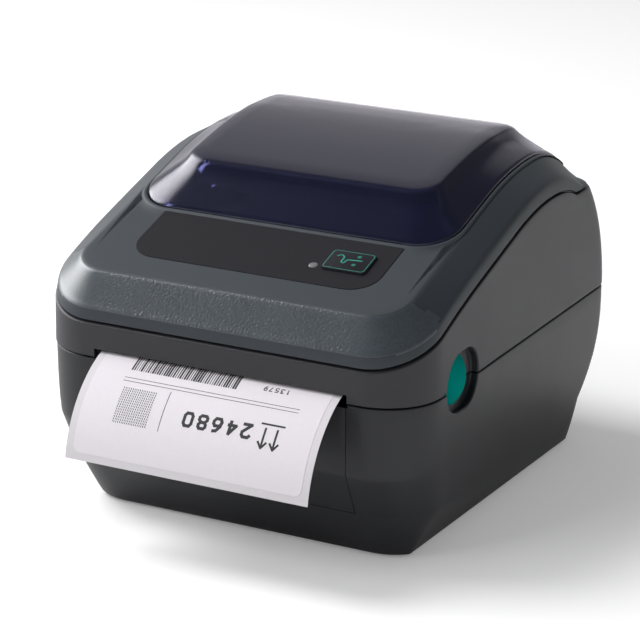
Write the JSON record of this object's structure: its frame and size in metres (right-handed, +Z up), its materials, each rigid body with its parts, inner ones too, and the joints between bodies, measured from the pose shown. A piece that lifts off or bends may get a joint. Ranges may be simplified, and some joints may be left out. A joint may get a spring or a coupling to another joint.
{
  "type": "label printer",
  "caption": "Desktop thermal label printer with lift-up lid, smoked window, sprung side latches, geared platen, media guides and a label in its slot.",
  "frame": {"origin": "centre of the bounding box on the table plane, label included", "axes": "+X to the right of someone who faces the printer, +Y from front to rear, +Z up"},
  "size_m": [0.1746, 0.237, 0.151],
  "materials": {
    "case_plastic": "satin, fine leather grain",
    "cover_plastic": "satin, fine leather grain",
    "window_tint": "gloss, smoked",
    "overlay_film": "matt film",
    "teal_plastic": "gloss",
    "black_plastic": "matt",
    "grey_plastic": "matt",
    "nylon": "matt",
    "rubber": "matt",
    "steel": "satin",
    "aluminium": "satin",
    "brass": "satin",
    "motor_metal": "satin",
    "ceramic": "glazed, opaque",
    "circuit_board": "matt",
    "lens": "clear lens",
    "paper": "matt paper",
    "cardboard": "matt cardboard"
  },
  "bodies": {
    "base": {"lower_case": "case_plastic", "front_bezel": "case_plastic", "rubber_feet": "rubber", "case_screws": "steel", "media_frame": "grey_plastic", "platen_bearings": "nylon", "stepper_motor": "motor_metal", "media_sensor": "black_plastic", "guide_pinion_pin": "steel", "label_strip": "paper", "main_board": "circuit_board", "usb_socket": "steel", "serial_socket": "steel", "dc_inlet": "black_plastic", "switch_housing": "black_plastic", "switch_axle": "steel", "latch_pins": "steel", "latch_spring_left": "steel", "latch_spring_right": "steel", "hinge_pins": "steel"},
    "lid": {"upper_case": "case_plastic", "top_cover": "cover_plastic", "window": "window_tint", "overlay_panel": "overlay_film", "status_light": "lens", "button_board": "circuit_board", "button_spring": "steel", "lid_frame": "grey_plastic", "lid_screws": "steel", "tear_bar": "steel", "striker_pins": "steel", "head_pin": "steel", "head_springs": "steel"},
    "platen": {"platen_roller": "rubber", "platen_shaft": "steel", "platen_gear": "nylon"},
    "idler": {"idler_gear": "nylon"},
    "motor_rotor": {"motor_pinion": "brass"},
    "guide_l": {"guide_left": "grey_plastic"},
    "guide_r": {"guide_right": "grey_plastic"},
    "guide_gear": {"guide_pinion": "nylon"},
    "roll": {"roll_core": "cardboard", "label_roll": "paper"},
    "rocker": {"power_rocker": "black_plastic"},
    "latch_l": {"latch_left": "grey_plastic", "latch_button_left": "teal_plastic"},
    "latch_r": {"latch_right": "grey_plastic", "latch_button_right": "teal_plastic"},
    "button": {"feed_button": "black_plastic"},
    "head": {"printhead": "ceramic", "heat_sink": "aluminium"}
  },
  "joints": [
    {"name": "lid_hinge", "type": "hinge", "parent": "base", "child": "lid", "pos_m": [0, 0.1102, 0.0807], "axis": [-1, 0, 0], "range_deg": [0, 90]},
    {"name": "roll_spin", "type": "hinge", "parent": "base", "child": "roll", "pos_m": [0, 0.0355, 0.072], "axis": [1, 0, 0], "continuous": true},
    {"name": "platen_spin", "type": "hinge", "parent": "base", "child": "platen", "pos_m": [0, -0.0695, 0.0676], "axis": [1, 0, 0], "continuous": true},
    {"name": "idler_spin", "type": "hinge", "parent": "base", "child": "idler", "pos_m": [0, -0.05318, 0.05391], "axis": [1, 0, 0], "continuous": true},
    {"name": "motor_spin", "type": "hinge", "parent": "base", "child": "motor_rotor", "pos_m": [0, -0.04403, 0.03806], "axis": [1, 0, 0], "continuous": true},
    {"name": "guide_slide_right", "type": "slide", "parent": "base", "child": "guide_r", "axis": [1, 0, 0], "range_m": [0, 0.006]},
    {"name": "guide_slide_left", "type": "slide", "parent": "base", "child": "guide_l", "axis": [-1, 0, 0], "range_m": [0, 0.006]},
    {"name": "guide_pinion_spin", "type": "hinge", "parent": "base", "child": "guide_gear", "pos_m": [0, 0.0355, 0.016], "axis": [0, 0, 1], "range_deg": [0, 44]},
    {"name": "latch_right_swing", "type": "hinge", "parent": "base", "child": "latch_r", "pos_m": [0.0794, -0.049, 0.0475], "axis": [-1, 0, 0], "range_deg": [0, 12], "stiffness_Nm_per_rad": 0.3, "springref_deg": -8.59, "deforming": ["latch_spring_right"]},
    {"name": "latch_left_swing", "type": "hinge", "parent": "base", "child": "latch_l", "pos_m": [-0.0794, -0.049, 0.0475], "axis": [-1, 0, 0], "range_deg": [0, 12], "stiffness_Nm_per_rad": 0.3, "springref_deg": -8.59, "deforming": ["latch_spring_left"]},
    {"name": "rocker_tilt", "type": "hinge", "parent": "base", "child": "rocker", "pos_m": [0.04, 0.1015, 0.0135], "axis": [0, 0, -1], "range_deg": [0, 14]},
    {"name": "feed_button_press", "type": "slide", "parent": "lid", "child": "button", "axis": [0, 0.2924, -0.9563], "range_m": [0, 0.0008], "stiffness_N_per_m": 1500, "springref_m": -0.0004, "deforming": ["button_spring"]},
    {"name": "head_pivot", "type": "hinge", "parent": "lid", "child": "head", "pos_m": [0, -0.05445, 0.08976], "axis": [-1, 0, 0], "range_deg": [0, 4], "stiffness_Nm_per_rad": 2, "springref_deg": -5.73, "deforming": ["head_springs"]}
  ],
  "couplings": [
    {"joint": "platen_spin", "follows": "roll_spin", "ratio": 5.625},
    {"joint": "idler_spin", "follows": "roll_spin", "ratio": -4.2188},
    {"joint": "motor_spin", "follows": "roll_spin", "ratio": 8.4375},
    {"joint": "guide_slide_left", "follows": "guide_slide_right", "ratio": 1},
    {"joint": "guide_pinion_spin", "follows": "guide_slide_right", "rad_per_m": 125}
  ]
}
